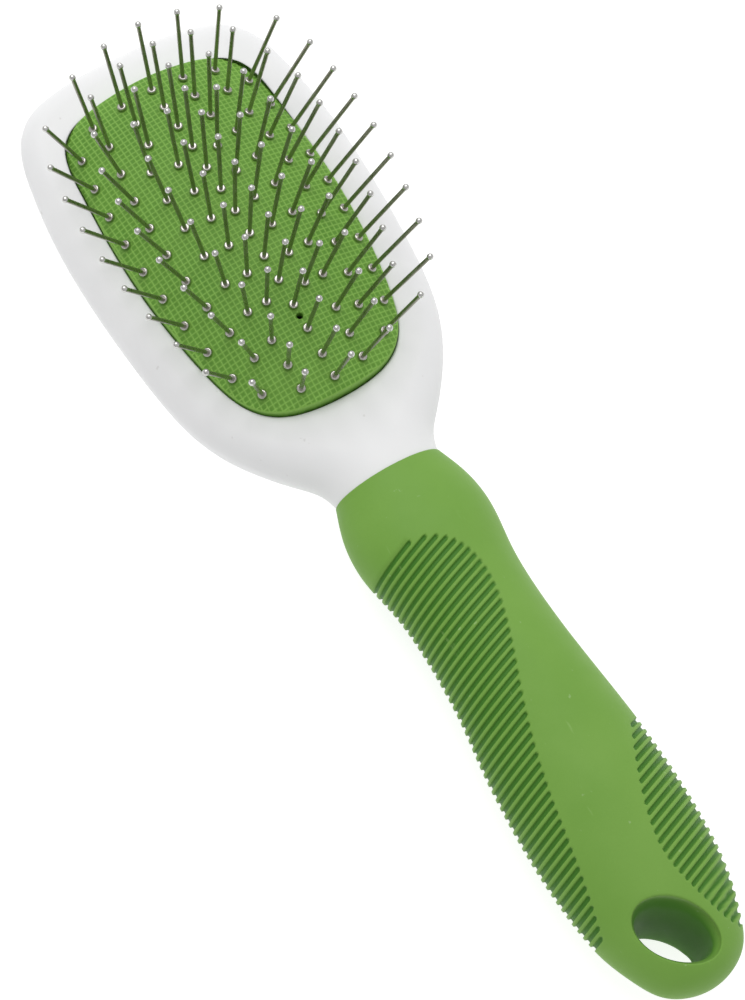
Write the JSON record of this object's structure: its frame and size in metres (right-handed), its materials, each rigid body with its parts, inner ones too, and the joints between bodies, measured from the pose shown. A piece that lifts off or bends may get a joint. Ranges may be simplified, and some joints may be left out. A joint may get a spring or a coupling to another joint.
{
  "type": "ball-tipped pin brush",
  "caption": "Pet grooming brush: domed rubber cushion of ball-tipped wire pins in a white plastic head, ribbed soft-grip handle with an oval hanging hole.",
  "frame": {"origin": "under the middle of the overall length, on the plane through the flat back", "axes": "+Z the way the pins point, +Y from the handle to the head's tip, +X across the head"},
  "size_m": [0.063, 0.2186, 0.0411],
  "materials": {
    "white_plastic": "satin-gloss white moulded plastic",
    "grip_rubber": "matt green thermoplastic rubber",
    "cushion_rubber": "matt green rubber with a fine woven emboss",
    "wire_steel": "drawn steel wire, dull",
    "collar_steel": "bright pressed ring",
    "ball_steel": "polished ball"
  },
  "bodies": {
    "brush_body": {"head_and_tang": "white_plastic", "grip": "grip_rubber", "cushion": "cushion_rubber"},
    "pin_band_1": {"pin_wires_1": "wire_steel", "pin_collars_1": "collar_steel", "pin_balls_1": "ball_steel"},
    "pin_band_2": {"pin_wires_2": "wire_steel", "pin_collars_2": "collar_steel", "pin_balls_2": "ball_steel"},
    "pin_band_3": {"pin_wires_3": "wire_steel", "pin_collars_3": "collar_steel", "pin_balls_3": "ball_steel"},
    "pin_band_4": {"pin_wires_4": "wire_steel", "pin_collars_4": "collar_steel", "pin_balls_4": "ball_steel"},
    "pin_band_5": {"pin_wires_5": "wire_steel", "pin_collars_5": "collar_steel", "pin_balls_5": "ball_steel"},
    "pin_band_6": {"pin_wires_6": "wire_steel", "pin_collars_6": "collar_steel", "pin_balls_6": "ball_steel"},
    "pin_band_7": {"pin_wires_7": "wire_steel", "pin_collars_7": "collar_steel", "pin_balls_7": "ball_steel"}
  },
  "joints": [
    {"name": "cushion_press", "type": "slide", "parent": "brush_body", "child": "pin_band_1", "axis": [0, 0, -1], "range_m": [0, 0.003], "stiffness_N_per_m": 2500, "deforming": ["cushion"]},
    {"name": "band_2_press", "type": "slide", "parent": "brush_body", "child": "pin_band_2", "axis": [0, 0, -1], "range_m": [0, 0.00262]},
    {"name": "band_3_press", "type": "slide", "parent": "brush_body", "child": "pin_band_3", "axis": [0, 0, -1], "range_m": [0, 0.00213]},
    {"name": "band_4_press", "type": "slide", "parent": "brush_body", "child": "pin_band_4", "axis": [0, 0, -1], "range_m": [0, 0.00181]},
    {"name": "band_5_press", "type": "slide", "parent": "brush_body", "child": "pin_band_5", "axis": [0, 0, -1], "range_m": [0, 0.00143]},
    {"name": "band_6_press", "type": "slide", "parent": "brush_body", "child": "pin_band_6", "axis": [0, 0, -1], "range_m": [0, 0.00101]},
    {"name": "band_7_press", "type": "slide", "parent": "brush_body", "child": "pin_band_7", "axis": [0, 0, -1], "range_m": [0, 0.00052]}
  ],
  "couplings": [
    {"joint": "band_2_press", "follows": "cushion_press", "ratio": 0.8708},
    {"joint": "band_3_press", "follows": "cushion_press", "ratio": 0.7076},
    {"joint": "band_4_press", "follows": "cushion_press", "ratio": 0.5991},
    {"joint": "band_5_press", "follows": "cushion_press", "ratio": 0.4739},
    {"joint": "band_6_press", "follows": "cushion_press", "ratio": 0.3342},
    {"joint": "band_7_press", "follows": "cushion_press", "ratio": 0.1688}
  ]
}
